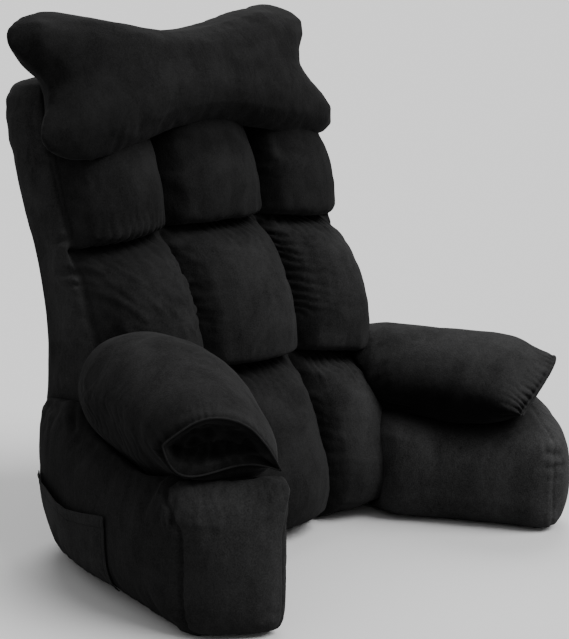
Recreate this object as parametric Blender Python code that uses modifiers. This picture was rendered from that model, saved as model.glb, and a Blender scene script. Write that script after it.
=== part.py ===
"""Reading pillow with arms, in metres, +Z up, front facing -Y, its floor at z = 0.

The origin is the middle of the back cushion's flat underside. The viewer's left is -X.
"""
import math

import bmesh
import bpy
from mathutils import Vector
from mathutils.bvhtree import BVHTree

GAP = 0.0004              # clearance between sewn pieces
PRESSED_GAP = 0.0008      # and between filled pieces that press on each other

# Back cushion: three columns and three rows of puffs on a leaning body.
BACK_PROFILE = (
    # height, half_width, front, rear, shift to the side
    (0.000, 0.247, -0.104, 0.114, 0.000),
    (0.060, 0.251, -0.101, 0.134, 0.000),
    (0.130, 0.253, -0.083, 0.138, 0.000),
    (0.210, 0.260, -0.056, 0.135, 0.000),
    (0.300, 0.265, -0.026, 0.131, 0.000),
    (0.400, 0.267, 0.007, 0.144, -0.001),
    (0.500, 0.268, 0.040, 0.171, -0.004),
    (0.600, 0.256, 0.073, 0.202, -0.010),
    (0.668, 0.238, 0.094, 0.215, -0.013),
)
BACK_HEIGHT = 0.668
BACK_FRONT_CROWN = 0.012  # how far the front's side seams lie behind its middle
BACK_EDGE = 0.034         # rounding of the rear and top edges
BACK_SEAM_EDGE = 0.014    # rounding along the front's side seams
COLUMN_SEAM = 0.37        # column seams, as a share of the half width
ROW_SEAMS = (
    # height in the middle, drop at the side
    (0.000, 0.000),
    (0.261, 0.030),
    (0.461, 0.024),
    (0.668, 0.000),
)
PUFFS = (
    # swelling of the bottom, middle and top row, droop of its lower part, how low it sags
    (0.057, 0.003, -0.05),
    (0.064, 0.006, 0.14),
    (0.056, 0.006, 0.16),
)
PUFF_STEPS = 8
BACK_DEPTH_STEPS = 6

# Arms: floor plan of one arm from its front to its rear, on the +X side.
ARM_PLAN = (
    # inner_x, inner_y, outer_x, outer_y, inner_top, outer_top
    (0.284, -0.392, 0.386, -0.305, 0.150, 0.167),
    (0.264, -0.350, 0.379, -0.260, 0.158, 0.192),
    (0.236, -0.285, 0.365, -0.198, 0.154, 0.200),
    (0.203, -0.218, 0.349, -0.131, 0.152, 0.206),
    (0.176, -0.176, 0.334, -0.070, 0.154, 0.214),
    (0.188, -0.112, 0.318, -0.015, 0.165, 0.222),
    (0.238, -0.030, 0.298, 0.045, 0.205, 0.224),
    (0.240, 0.060, 0.280, 0.088, 0.212, 0.220),
    (0.240, 0.116, 0.268, 0.118, 0.208, 0.212),
)
ARM_EDGE = 0.027
ARM_REAR_TUCK = (0.090, 0.034)   # height and depth of the rounded foot at the rear
ARM_FRONT_BULGE = 0.026
ARM_SIDE_BULGE = 0.008
ARM_STEPS = (6, 14, 8)    # across, along, up

# Rolls on the arms: inner and outer edges of each section, front to rear, on the +X side.
ROLL_COLUMNS = ("inner_x", "inner_y", "outer_x", "outer_y", "inner_z", "outer_z", "half_height",
                "pointed", "skew", "below")
LEFT_ROLL = (
    (0.266, -0.366, 0.386, -0.278, 0.206, 0.246, 0.056, 1.00, 0.004, 0.34),
    (0.250, -0.347, 0.392, -0.250, 0.208, 0.244, 0.074, 0.55, 0.000, 0.52),
    (0.232, -0.318, 0.389, -0.215, 0.212, 0.242, 0.090, 0.25, -0.004, 0.70),
    (0.206, -0.268, 0.378, -0.170, 0.220, 0.248, 0.103, 0.08, -0.008, 0.78),
    (0.188, -0.198, 0.362, -0.112, 0.230, 0.258, 0.104, 0.00, -0.008, 0.76),
    (0.182, -0.130, 0.342, -0.060, 0.238, 0.266, 0.092, 0.00, -0.004, 0.82),
    (0.190, -0.085, 0.314, -0.028, 0.238, 0.262, 0.074, 0.00, 0.000, 0.90),
    (0.206, -0.056, 0.288, -0.012, 0.232, 0.254, 0.054, 0.00, 0.000, 1.00),
)
RIGHT_ROLL = (
    (0.250, -0.348, 0.386, -0.276, 0.178, 0.226, 0.052, 1.00, 0.026, 0.28),
    (0.244, -0.335, 0.392, -0.250, 0.183, 0.226, 0.060, 0.55, 0.016, 0.50),
    (0.234, -0.308, 0.388, -0.215, 0.188, 0.225, 0.065, 0.22, 0.006, 0.80),
    (0.220, -0.258, 0.376, -0.170, 0.190, 0.223, 0.066, 0.06, 0.000, 1.00),
    (0.204, -0.190, 0.360, -0.112, 0.190, 0.221, 0.066, 0.00, 0.000, 1.00),
    (0.192, -0.125, 0.339, -0.060, 0.190, 0.222, 0.067, 0.00, 0.000, 1.00),
    (0.194, -0.075, 0.317, -0.018, 0.189, 0.221, 0.066, 0.00, 0.000, 1.00),
    (0.206, -0.030, 0.292, 0.012, 0.188, 0.214, 0.054, 0.00, 0.000, 1.00),
)
ROLL_OVERHANG = 0.022     # how far the end leans out over the arm's front at its top
SIDES = (
    # name, direction of x, lift of the arm's inner top, its roll
    ("left", -1, 0.022, LEFT_ROLL),
    ("right", 1, -0.010, RIGHT_ROLL),
)
ROLL_SIDES = 28
ROLL_RINGS = 16
ROLL_END_RECESS = 0.010
WELT_RADIUS = 0.0025

# Head pillow: bone outline, leaning with the back.
HEAD_HALF_LENGTH = (0.246, 0.058)           # at mid height, extra at the corners
HEAD_HALF_HEIGHT = (0.074, 0.043, 0.038)    # at mid length, extra at the left and right
HEAD_HALF_THICKNESS = 0.052
HEAD_CENTRE = (-0.045, 0.055, 0.669)
HEAD_LEAN = math.radians(23)
HEAD_SHEAR = 0.007                  # the lower edge lies this far to the right of the middle
HEAD_TURN = math.radians(1.5)
HEAD_STEPS = (24, 10)

# Side pocket, on the outer side of the arm at the viewer's left.
POCKET_ALONG = (0.095, -0.130)      # y of the rear and the front edge
POCKET_TOP = (
    # share from rear to front, height of the mouth
    (0.00, 0.138),
    (0.20, 0.120),
    (0.40, 0.099),
    (0.70, 0.096),
    (1.00, 0.104),
)
POCKET_FOOT = 0.012
POCKET_THICKNESS = 0.002
POCKET_GAPE = 0.014
POCKET_STEPS = (14, 8)


def table(rows, column, at):
    """Value of a column, read along the first one, eased between the rows."""
    keys = [row[0] for row in rows]
    at = min(max(at, keys[0]), keys[-1])
    i = max(k for k in range(len(keys) - 1) if keys[k] <= at)
    values = [row[column] for row in rows]
    before = values[max(i - 1, 0)]
    after = values[min(i + 2, len(keys) - 1)]
    span = keys[i + 1] - keys[i]
    s = (at - keys[i]) / span
    width_a = keys[i + 1] - keys[max(i - 1, 0)]
    width_b = keys[min(i + 2, len(keys) - 1)] - keys[i]
    slope_a = (values[i + 1] - before) / width_a * span
    slope_b = (after - values[i]) / width_b * span
    return ((2 * s**3 - 3 * s**2 + 1) * values[i] + (s**3 - 2 * s**2 + s) * slope_a
            + (3 * s**2 - 2 * s**3) * values[i + 1] + (s**3 - s**2) * slope_b)


def numbered(rows):
    """The same rows, with a leading column from 0 to 1."""
    last = len(rows) - 1
    return tuple((i / last,) + tuple(row) for i, row in enumerate(rows))


def eased(s):
    """From 0 to 1, level at both ends."""
    s = min(1.0, max(0.0, s))
    return s * s * (3 - 2 * s)


def hump(s, power=2.6, root=0.6):
    """A cushion's swelling between two seams at s = -1 and s = 1."""
    return max(0.0, 1.0 - abs(s)**power)**root


def material(name, grey, roughness):
    made = bpy.data.materials.new(name)
    made.use_nodes = True
    surface = made.node_tree.nodes["Principled BSDF"]
    surface.inputs["Base Color"].default_value = (grey, grey, grey, 1.0)
    surface.inputs["Roughness"].default_value = roughness
    surface.inputs["Metallic"].default_value = 0.0
    return made


def take(name, mesh, collection, look):
    """Give a mesh its object, collection and material."""
    thing = bpy.data.objects.new(name, mesh)
    collection.objects.link(thing)
    mesh.materials.clear()
    mesh.materials.append(look)
    return thing


def box_grid(name, across, along, up):
    """A cube from -1 to 1, cut evenly into the given numbers of steps."""
    form = bmesh.new()
    bmesh.ops.create_cube(form, size=2.0)
    for axis, steps in enumerate((across, along, up)):
        if steps < 2:
            continue
        edges = [e for e in form.edges
                 if abs(e.verts[0].co[axis] - e.verts[1].co[axis]) > 1e-6]
        bmesh.ops.subdivide_edges(form, edges=edges, cuts=steps - 1, use_grid_fill=True)
    mesh = bpy.data.meshes.new(name)
    form.to_mesh(mesh)
    form.free()
    return mesh


def reshape(mesh, rule):
    """Move every point by a rule, weld what meets and settle the facets."""
    for vertex in mesh.vertices:
        vertex.co = rule(*vertex.co)
    return weld(mesh)


def weld(mesh, distance=0.00005):
    form = bmesh.new()
    form.from_mesh(mesh)
    bmesh.ops.remove_doubles(form, verts=form.verts, dist=distance)
    bmesh.ops.triangulate(form, faces=form.faces)
    bmesh.ops.recalc_face_normals(form, faces=form.faces)
    form.to_mesh(mesh)
    form.free()
    mesh.shade_smooth()
    return mesh


def rounded(point, half, radius):
    """A box's surface point moved onto the rounded box of the same size."""
    core = Vector([min(max(p, radius - h), h - radius) for p, h in zip(point, half)])
    out = Vector(point) - core
    if out.length < 1e-9:
        return Vector(point)
    return core + out.normalized() * radius


# ---------------------------------------------------------------- back cushion
def row_level(index, share):
    middle, drop = ROW_SEAMS[index]
    return middle - drop * share * share


def back_point(a, b, c):
    """Cube point to the back cushion: a across, b front to rear, c up."""
    rows = len(PUFFS)
    place = (c + 1) / 2 * rows
    row = min(int(place), rows - 1)
    t = place - row
    share = abs(a)
    low = row_level(row, share)
    high = row_level(row + 1, share)
    level = low + (high - low) * t

    wide = table(BACK_PROFILE, 1, level)
    front = table(BACK_PROFILE, 2, level) + BACK_FRONT_CROWN * share**2 * eased(level / 0.25)
    rear = table(BACK_PROFILE, 3, level)
    deep = (rear - front) / 2
    radius = BACK_SEAM_EDGE + (BACK_EDGE - BACK_SEAM_EDGE) * min(max(b + 1, 0), 1)
    half = (wide, deep, BACK_HEIGHT / 2)
    spot = rounded((a * wide, b * deep, level - BACK_HEIGHT / 2), half, radius)

    x = spot.x + table(BACK_PROFILE, 4, level)
    y = (front + rear) / 2 + spot.y
    z = spot.z + BACK_HEIGHT / 2
    x += math.copysign(0.006, a) * (1 - b * b) * share**4

    facing = max(0.0, -b - 0.4) / 0.6
    if share < COLUMN_SEAM:
        across = hump(a / COLUMN_SEAM)
    else:
        across = hump((share - (1 + COLUMN_SEAM) / 2) / ((1 - COLUMN_SEAM) / 2))
    s = 2 * t - 1
    swell, sag, low_share = PUFFS[row]
    lowered = s + low_share * (1 - s * s)
    lift = swell * hump(lowered) * across * facing**1.5
    y -= lift
    z -= sag * across * facing * max(0.0, 1 - ((s + 0.7) / 0.3)**2)
    z = max(z, 0.0)
    return Vector((x, y, z))


def make_back(collection):
    mesh = box_grid("back_cushion", 3 * PUFF_STEPS, BACK_DEPTH_STEPS, 3 * PUFF_STEPS)
    columns = (-1.0, -COLUMN_SEAM, COLUMN_SEAM, 1.0)

    def rule(a, b, c):
        place = (a + 1) / 2 * 3
        i = min(int(place + 1e-6), 2)
        return back_point(columns[i] + (columns[i + 1] - columns[i]) * (place - i), b, c)

    reshape(mesh, rule)
    return take("back_cushion", mesh, collection, material("back plush", 0.013, 0.95))


# ------------------------------------------------------------------------ arms
def arm_point(a, b, c, lift):
    """Cube point to the arm at +X: a inner to outer, b front to rear, c up."""
    rows = numbered(ARM_PLAN)
    along = (b + 1) / 2
    wide, deep, tall = 0.070, 0.240, 0.100
    spot = rounded((a * wide, b * deep, c * tall), (wide, deep, tall), ARM_EDGE)
    a2, b2, c2 = spot.x / wide, spot.y / deep, spot.z / tall
    t = (b2 + 1) / 2
    inner = Vector((table(rows, 1, t), table(rows, 2, t), 0))
    outer = Vector((table(rows, 3, t), table(rows, 4, t), 0))
    side = (outer - inner).normalized()
    ahead = Vector((side.y, -side.x, 0))
    share = (a2 + 1) / 2
    inner_top = table(rows, 5, t) + lift * min(1.0, 2 * (1 - t))
    top = inner_top * (1 - share) + table(rows, 6, t) * share
    spot = inner.lerp(outer, share)
    spot.z = (c2 + 1) / 2 * top
    swell = (1 - c2 * c2)
    spot += side * ARM_SIDE_BULGE * a2 * abs(a2) * swell * min(1.0, 2 * (1 - abs(b2)))
    front = max(0.0, 1 - (b2 + 1) / 0.35)
    spot += ahead * ARM_FRONT_BULGE * front**2 * (1 - a2 * a2) * max(hump(c2, 2.4, 0.8), 0.55 * eased(-c2))
    spot.z += 0.008 * (1 - a2 * a2) * max(0.0, c2)**3
    low = max(0.0, 1 - spot.z / ARM_REAR_TUCK[0])**2
    behind = min(1.0, max(0.0, (t - 0.62) / 0.38))
    spot -= side * ARM_REAR_TUCK[1] * low * behind * share
    spot += ahead * ARM_REAR_TUCK[1] * low * behind**2
    return spot


def make_arm(name, side, lift, collection):
    mesh = box_grid(name, *ARM_STEPS)

    def rule(a, b, c):
        spot = arm_point(a * side, b, c, lift)
        return Vector((spot.x * side, spot.y, spot.z))

    reshape(mesh, rule)
    return take(name, mesh, collection, material(name + " plush", 0.012, 0.95))


# ----------------------------------------------------------------------- rolls
def roll_point(plan, angle, t, share=1.0, sink=0.0):
    """Point of a roll at +X: angle round the section, t front to rear."""
    rows = numbered(plan)
    at = {name: table(rows, k + 1, t) for k, name in enumerate(ROLL_COLUMNS)}
    inner = Vector((at["inner_x"], at["inner_y"], at["inner_z"]))
    outer = Vector((at["outer_x"], at["outer_y"], at["outer_z"]))
    middle = (inner + outer) / 2
    cross = outer - middle
    flat = Vector((cross.x, cross.y, 0)).normalized()
    ahead = Vector((flat.y, -flat.x, 0))
    rise = math.sin(angle)
    high = rise * abs(rise)**max(0.0, at["pointed"]) * at["half_height"]
    if rise < 0:
        high *= at["below"]
    spot = middle + (cross * math.cos(angle) + Vector((0, 0, high))) * share
    spot += flat * at["skew"] * max(0.0, rise) * share
    spot += ahead * ROLL_OVERHANG * rise * share * max(0.0, 1 - 3 * t)
    return spot - ahead * sink


def make_roll(name, side, plan, collection):
    form = bmesh.new()
    bmesh.ops.create_uvsphere(form, u_segments=ROLL_SIDES, v_segments=ROLL_RINGS, radius=1.0)
    mesh = bpy.data.meshes.new(name)
    form.to_mesh(mesh)
    form.free()
    end_rings = 4
    rear_rings = 3
    body_rings = ROLL_RINGS - end_rings - rear_rings

    def rule(x, y, z):
        ring = round((1 - math.asin(max(-1, min(1, z))) / (math.pi / 2)) / 2 * ROLL_RINGS)
        angle = math.atan2(y, x)
        if ring <= end_rings:
            share = ring / end_rings
            sink = ROLL_END_RECESS * (1 - share**4)
            spot = roll_point(plan, angle, 0.0, share, sink)
        elif ring <= end_rings + body_rings:
            spot = roll_point(plan, angle, (ring - end_rings) / body_rings)
        else:
            turn = (ring - end_rings - body_rings) / rear_rings * math.pi / 2
            spot = roll_point(plan, angle, 1.0, math.cos(turn), 0.030 * math.sin(turn))
        spot.x *= side
        return spot

    reshape(mesh, rule)
    return take(name, mesh, collection, material(name + " plush", 0.014, 0.93))


def make_welt(name, side, plan, collection):
    count = 2 * ROLL_SIDES
    path = bpy.data.curves.new(name, "CURVE")
    path.dimensions = "3D"
    path.bevel_depth = WELT_RADIUS
    path.bevel_resolution = 1
    spline = path.splines.new("POLY")
    spline.points.add(count - 1)
    for i in range(count):
        angle = 2 * math.pi * i / count
        rim = roll_point(plan, angle, 0.0)
        centre = roll_point(plan, angle, 0.0, 0.0)
        out = (rim - centre).normalized()
        face = roll_point(plan, angle, 0.0, 1.0, -1.0) - rim
        away = (out * 0.5 + face.normalized()).normalized()
        spot = rim + away * (WELT_RADIUS + 2 * GAP)
        spline.points[i].co = (spot.x * side, spot.y, spot.z, 1)
    spline.use_cyclic_u = True
    curve = bpy.data.objects.new(name + "_path", path)
    bpy.context.scene.collection.objects.link(curve)
    bpy.context.view_layer.update()
    mesh = bpy.data.meshes.new_from_object(
        curve.evaluated_get(bpy.context.evaluated_depsgraph_get()))
    mesh.name = name
    bpy.data.objects.remove(curve)
    weld(mesh)
    return take(name, mesh, collection, material(name + " cloth", 0.016, 0.85))


# ----------------------------------------------------------------- head pillow
def head_point(a, b, c):
    n = 4.2
    size = max(abs(a), abs(c))
    k = size / (abs(a)**n + abs(c)**n)**(1 / n) if size > 1e-6 else 1.0
    x = a * k * (HEAD_HALF_LENGTH[0] + HEAD_HALF_LENGTH[1] * eased(abs(c) * k / 0.78))
    corner = HEAD_HALF_HEIGHT[1] if a < 0 else HEAD_HALF_HEIGHT[2]
    z = c * k * (HEAD_HALF_HEIGHT[0] + corner * eased(abs(a) * k / 0.84))
    x -= HEAD_SHEAR * c
    thick = HEAD_HALF_THICKNESS * ((1 - a**4) * (1 - c**4))**0.45
    y = b * thick
    spot = Vector((x, y, z))
    x = spot.x * math.cos(HEAD_TURN) - spot.z * math.sin(HEAD_TURN)
    z = spot.x * math.sin(HEAD_TURN) + spot.z * math.cos(HEAD_TURN)
    y = spot.y * math.cos(HEAD_LEAN) + z * math.sin(HEAD_LEAN)
    z = z * math.cos(HEAD_LEAN) - spot.y * math.sin(HEAD_LEAN)
    return Vector((x, y, z)) + Vector(HEAD_CENTRE)


def make_head(collection):
    mesh = box_grid("head_pillow", HEAD_STEPS[0], 1, HEAD_STEPS[1])
    reshape(mesh, head_point)
    return take("head_pillow", mesh, collection, material("head plush", 0.013, 0.93))


# ---------------------------------------------------------------------- pocket
def make_pocket(arm, collection):
    tree = BVHTree.FromPolygons([v.co.copy() for v in arm.data.vertices],
                                [tuple(p.vertices) for p in arm.data.polygons])
    rear, front = POCKET_ALONG
    bpy.ops.mesh.primitive_grid_add(x_subdivisions=POCKET_STEPS[0],
                                    y_subdivisions=POCKET_STEPS[1], size=2)
    thing = bpy.context.active_object
    thing.name = "side_pocket"
    mesh = thing.data
    for vertex in mesh.vertices:
        along = (vertex.co.x + 1) / 2
        up = (vertex.co.y + 1) / 2
        tucked = rear - ARM_REAR_TUCK[1] * 1.3 * (1 - up)**2
        y = tucked + (front - tucked) * along
        z = POCKET_FOOT + (table(POCKET_TOP, 1, along) - POCKET_FOOT) * up
        start = Vector((-0.6, y, z))
        hit, normal, _, _ = tree.ray_cast(start, Vector((1, 0, 0)))
        if hit is None:
            hit, normal, _, _ = tree.find_nearest(Vector((-0.30, y, z)))
        gape = POCKET_GAPE * hump(2 * along - 1, 2.0, 1.0) * up**1.6
        out = Vector((normal.x, normal.y, 0)).normalized()
        vertex.co = hit + out * (0.0012 + gape)
    solid = thing.modifiers.new("cloth", "SOLIDIFY")
    solid.thickness = POCKET_THICKNESS
    solid.offset = 1.0
    mesh.shade_smooth()
    for owner in list(thing.users_collection):
        owner.objects.unlink(thing)
    collection.objects.link(thing)
    mesh.materials.append(material("pocket plush", 0.013, 0.95))
    return thing


# ------------------------------------------------------------------ assembling
def fattened(source, collection):
    """A copy of a piece, larger all round by the clearance, to cut with."""
    copy = source.copy()
    copy.name = source.name + "_space"
    copy.hide_render = True
    copy.display_type = "WIRE"
    collection.objects.link(copy)
    grow = copy.modifiers.new("clearance", "DISPLACE")
    grow.direction = "NORMAL"
    grow.mid_level = 0.0
    grow.strength = PRESSED_GAP
    return copy


def press(piece, space):
    """Shape a piece to the neighbour that it is pressed against."""
    cut = piece.modifiers.new("pressed on " + space.name, "BOOLEAN")
    cut.operation = "DIFFERENCE"
    cut.solver = "EXACT"
    cut.object = space


def main():
    for thing in list(bpy.data.objects):
        bpy.data.objects.remove(thing)
    scene = bpy.context.scene
    parts = bpy.data.collections.new("reading_pillow")
    spaces = bpy.data.collections.new("cutters")
    scene.collection.children.link(parts)
    scene.collection.children.link(spaces)

    back = make_back(parts)
    back_space = fattened(back, spaces)
    for word, side, arm_lift, plan in SIDES:
        arm = make_arm("arm_" + word, side, arm_lift, parts)
        roll = make_roll("arm_roll_" + word, side, plan, parts)
        welt = make_welt("roll_welt_" + word, side, plan, parts)
        if side < 0:
            make_pocket(arm, parts)
        press(arm, back_space)
        roll_space = fattened(roll, spaces)
        press(arm, roll_space)
        press(roll, fattened(welt, spaces))
        press(roll, back_space)
    head = make_head(parts)
    press(head, back_space)


main()
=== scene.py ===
import math

import bpy
import numpy as np
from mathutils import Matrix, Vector, noise
from mathutils.bvhtree import BVHTree
from mathutils.kdtree import KDTree


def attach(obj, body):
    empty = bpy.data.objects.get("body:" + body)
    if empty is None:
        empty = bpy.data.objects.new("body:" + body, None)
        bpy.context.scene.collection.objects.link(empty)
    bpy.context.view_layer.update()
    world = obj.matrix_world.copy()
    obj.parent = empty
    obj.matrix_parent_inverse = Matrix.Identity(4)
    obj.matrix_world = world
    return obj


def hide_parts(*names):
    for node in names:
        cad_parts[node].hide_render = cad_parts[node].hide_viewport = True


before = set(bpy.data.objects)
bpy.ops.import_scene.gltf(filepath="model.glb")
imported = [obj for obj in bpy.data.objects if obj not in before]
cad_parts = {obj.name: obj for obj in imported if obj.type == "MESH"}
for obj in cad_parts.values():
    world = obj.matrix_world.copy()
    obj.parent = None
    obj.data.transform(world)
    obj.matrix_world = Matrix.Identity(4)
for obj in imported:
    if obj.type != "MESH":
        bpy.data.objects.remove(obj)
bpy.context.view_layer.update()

STUFFING_FRAMES = 20     # how long a cover is blown up
PRESSURE = 4.0           # of the filling
SWELL = 0.008            # how far a cover may swell, and the back's cover
BACK_SWELL = 0.012
FLOOR_HELD = 0.004       # the cloth under this height rests on the floor
NAP_AND_SHADE_RANGE = (0.2, 2.5)   # the darkest and lightest tone, painted shade and light included


# ------------------------------------------------------------------ mesh tools
def only(thing):
    """Select one object and nothing else."""
    if bpy.context.mode != "OBJECT":
        bpy.ops.object.mode_set(mode="OBJECT")
    bpy.ops.object.select_all(action="DESELECT")
    thing.select_set(True)
    bpy.context.view_layer.objects.active = thing


def places(thing):
    """Where a thing's points lie."""
    flat = np.empty(len(thing.data.vertices) * 3)
    thing.data.vertices.foreach_get("co", flat)
    return flat.reshape(-1, 3)


def outwards(thing):
    """The way out of the surface at each point."""
    flat = np.empty(len(thing.data.vertices) * 3)
    thing.data.vertices.foreach_get("normal", flat)
    return flat.reshape(-1, 3)


def middles(thing):
    """The middle of each face."""
    flat = np.empty(len(thing.data.polygons) * 3)
    thing.data.polygons.foreach_get("center", flat)
    return flat.reshape(-1, 3)


def put(thing, spots):
    """Place a thing's points."""
    thing.data.vertices.foreach_set("co", np.ascontiguousarray(spots).ravel())
    thing.data.update()


def push(thing, spots, amounts):
    """Move each spot outwards by its own amount, or inwards where that is negative."""
    put(thing, spots + outwards(thing) * amounts[:, None])


def apply(thing, modifier):
    """Apply a modifier."""
    only(thing)
    bpy.ops.object.modifier_apply(modifier=modifier.name)


def relax(thing, rounds, factor=0.5):
    """Even out a surface."""
    soften = thing.modifiers.new("soften", "SMOOTH")
    soften.factor = factor
    soften.iterations = rounds
    apply(thing, soften)


def refine(piece, chosen):
    """Cut the chosen faces into four, rounded as the surface is."""
    only(piece)
    bpy.ops.object.mode_set(mode="EDIT")
    bpy.ops.mesh.select_mode(type="FACE")
    bpy.ops.mesh.select_all(action="DESELECT")
    bpy.ops.object.mode_set(mode="OBJECT")
    piece.data.polygons.foreach_set("select", chosen)
    bpy.ops.object.mode_set(mode="EDIT")
    bpy.ops.mesh.subdivide(number_cuts=1, smoothness=1.0)
    bpy.ops.mesh.select_all(action="DESELECT")
    bpy.ops.object.mode_set(mode="OBJECT")


def grouped(thing, name, weights):
    """A vertex group with each point's weight, in tenths."""
    group = thing.vertex_groups.new(name=name)
    steps = np.clip(np.round(np.asarray(weights) * 10), 0, 10).astype(int)
    for step in range(1, 11):
        members = np.nonzero(steps == step)[0]
        if len(members):
            group.add(members.tolist(), step / 10, "REPLACE")
    return group


def surface(thing):
    """The thing's faces, for asking what is nearest."""
    mesh = thing.data
    return BVHTree.FromPolygons([v.co.copy() for v in mesh.vertices],
                                [tuple(p.vertices) for p in mesh.polygons])


def distance(spots, node, most):
    """How far each point is from a CAD node, up to the most that matters."""
    tree = surface(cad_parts[node])
    found = np.full(len(spots), most)
    for i, spot in enumerate(spots):
        hit = tree.find_nearest(Vector(spot), most)
        if hit[0] is not None:
            found[i] = hit[3]
    return found


# ------------------------------------------------------------- stuffing a cover
def cover(node, name, voxel):
    """A new cover cut over a CAD node: its merged copy, in even quads."""
    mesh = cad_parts[node].data.copy()
    mesh.name = name
    mesh.materials.clear()
    piece = bpy.data.objects.new(name, mesh)
    bpy.context.scene.collection.objects.link(piece)
    only(piece)
    bpy.ops.mesh.customdata_custom_splitnormals_clear()
    bpy.ops.object.mode_set(mode="EDIT")
    bpy.ops.mesh.select_all(action="SELECT")
    bpy.ops.mesh.remove_doubles(threshold=0.0001)
    bpy.ops.object.mode_set(mode="OBJECT")
    mesh = piece.data
    mesh.remesh_voxel_size = voxel
    mesh.remesh_voxel_adaptivity = 0.0
    bpy.ops.object.voxel_remesh()
    return piece


def stuff(piece, sewn, cap, spare):
    """Blow a cover up over its filling, by the cap at most.

    The sewn weights hold points down, and spare is the share of extra cloth.
    """
    start = places(piece)
    group = grouped(piece, "sewn", sewn)
    cloth = piece.modifiers.new("stuffing", "CLOTH")
    cloth.settings.quality = 4
    cloth.settings.mass = 0.3
    cloth.settings.tension_stiffness = 12
    cloth.settings.compression_stiffness = 12
    cloth.settings.shear_stiffness = 5
    cloth.settings.bending_stiffness = 0.4
    cloth.settings.use_pressure = True
    cloth.settings.uniform_pressure_force = PRESSURE
    cloth.settings.effector_weights.gravity = 0
    cloth.settings.vertex_group_mass = group.name
    cloth.settings.shrink_min = -spare
    cloth.collision_settings.use_collision = False
    cloth.collision_settings.use_self_collision = False
    cloth.point_cache.frame_start = 1
    cloth.point_cache.frame_end = STUFFING_FRAMES
    for number in range(1, STUFFING_FRAMES + 1):
        bpy.context.scene.frame_set(number)
    shown = piece.evaluated_get(bpy.context.evaluated_depsgraph_get())
    flat = np.empty(len(start) * 3)
    shown.data.vertices.foreach_get("co", flat)
    step = flat.reshape(-1, 3) - start
    piece.modifiers.remove(cloth)
    piece.vertex_groups.remove(group)
    bpy.context.scene.frame_set(1)
    length = np.linalg.norm(step, axis=1, keepdims=True) + 1e-9
    step *= cap * np.tanh(length / cap) / length
    put(piece, start + step)


def padding(node, name, voxel, neighbours, spare, sewn=None, evened=2):
    """A stuffed cover over a node, held down where it meets its neighbours."""
    piece = cover(node, name, voxel)
    spots = places(piece)
    held = np.zeros(len(spots)) if sewn is None else sewn(spots)
    for other in neighbours:
        held = np.maximum(held, fade(distance(spots, other, 0.02), 0.012, 0.005))
    held[spots[:, 2] < FLOOR_HELD] = 1
    stuff(piece, held, SWELL, spare)
    relax(piece, evened)
    refine(piece, np.ones(len(piece.data.polygons), bool))
    relax(piece, 1)
    return piece


def finish_piece(piece, node, look, nap_and_shade=None):
    """Give a piece its cloth, and say what it stands for. The tone given for each point holds
    painted shade and light.
    """
    piece.data.materials.clear()
    piece.data.materials.append(look)
    piece.data.shade_smooth()
    tones = piece.data.attributes.new("pile_and_shade", "FLOAT", "POINT")
    count = len(piece.data.vertices)
    tones.data.foreach_set("value", np.ones(count) if nap_and_shade is None else np.clip(nap_and_shade, *NAP_AND_SHADE_RANGE))
    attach(piece, "root")
    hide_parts(node)


# ------------------------------------------------------------- seams and folds
def dense(path, closed=False, step=0.0015):
    """A path's points, filled in evenly, with how far along it each one lies."""
    path = np.asarray(path, float)
    if closed:
        path = np.vstack([path, path[:1]])
    run = np.concatenate([[0], np.cumsum(np.linalg.norm(np.diff(path, axis=0), axis=1))])
    at = np.linspace(0, run[-1], max(2, int(run[-1] / step)))
    return np.stack([np.interp(at, run, path[:, k]) for k in range(3)], axis=1), at


def evened_path(path):
    """A closed path with each point drawn towards its two neighbours."""
    return 0.5 * path + 0.25 * (np.roll(path, 1, axis=0) + np.roll(path, -1, axis=0))


def within_box(spots, path, most):
    """Which points lie in a path's box, made larger all round. Gives their numbers."""
    low, high = path.min(axis=0) - most, path.max(axis=0) + most
    return np.nonzero(np.all((spots > low) & (spots < high), axis=1))[0]


def beside(spots, path, closed=False, most=0.08):
    """How far each point is from a path, how far along, and the nearest point on it."""
    line, at = dense(path, closed)
    tree = KDTree(len(line))
    for i, spot in enumerate(line):
        tree.insert(spot, i)
    tree.balance()
    away = np.full(len(spots), most)
    along = np.zeros(len(spots))
    nearest = spots.copy()
    for i in within_box(spots, line, most):
        spot, index, gap = tree.find(Vector(spots[i]))
        if gap < most:
            away[i] = gap
            along[i] = at[index]
            nearest[i] = spot
    return away, along, nearest


def bell(value, width):
    """From 1 at zero down to nothing, over about twice the width."""
    return np.exp(-(value / width)**2)


def fade(value, start, end):
    """From 0 at start to 1 at end, level at both. The end may be the lower one."""
    share = np.clip((value - start) / (end - start), 0, 1)
    return share * share * (3 - 2 * share)


def strip(run):
    """Points on one line, for disorder that only changes along it."""
    return np.stack([run, 0 * run, 0 * run], 1)


def unrest(spots, size, seed=0.0):
    """Smooth disorder from -1 to 1, with lumps of about the given size."""
    offset = Vector((seed, 1.7 * seed, -seed))
    return np.array([noise.noise(Vector(spot) / size + offset) for spot in spots])


def ridges(spots, size, seed):
    """Disorder with sharp crests, at 1 along them."""
    return 1 - 2 * np.abs(unrest(spots, size, seed))


def pleats(along, spacing, wander):
    """Grooves at about the given spacing, from 0 on the crests to 1 in the grooves."""
    return (0.5 + 0.5 * np.cos(2 * np.pi * (along / spacing + 0.7 * wander)))**2.5


def crease(piece, width, depth, path):
    """Press a crease in along a path, with a soft lip on each side, fading at its ends."""
    spots = places(piece)
    away, along, _ = beside(spots, path, most=5 * width)
    length = dense(path)[1][-1]
    ends = fade(along, 0, 0.25 * length) * fade(length - along, 0, 0.25 * length)
    ends = np.where(away < 5 * width, ends, 0)
    groove = -depth * bell(away, width)
    lip = 0.4 * depth * bell(away - 2.2 * width, 1.2 * width)
    push(piece, spots, (groove + lip) * ends)


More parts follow.
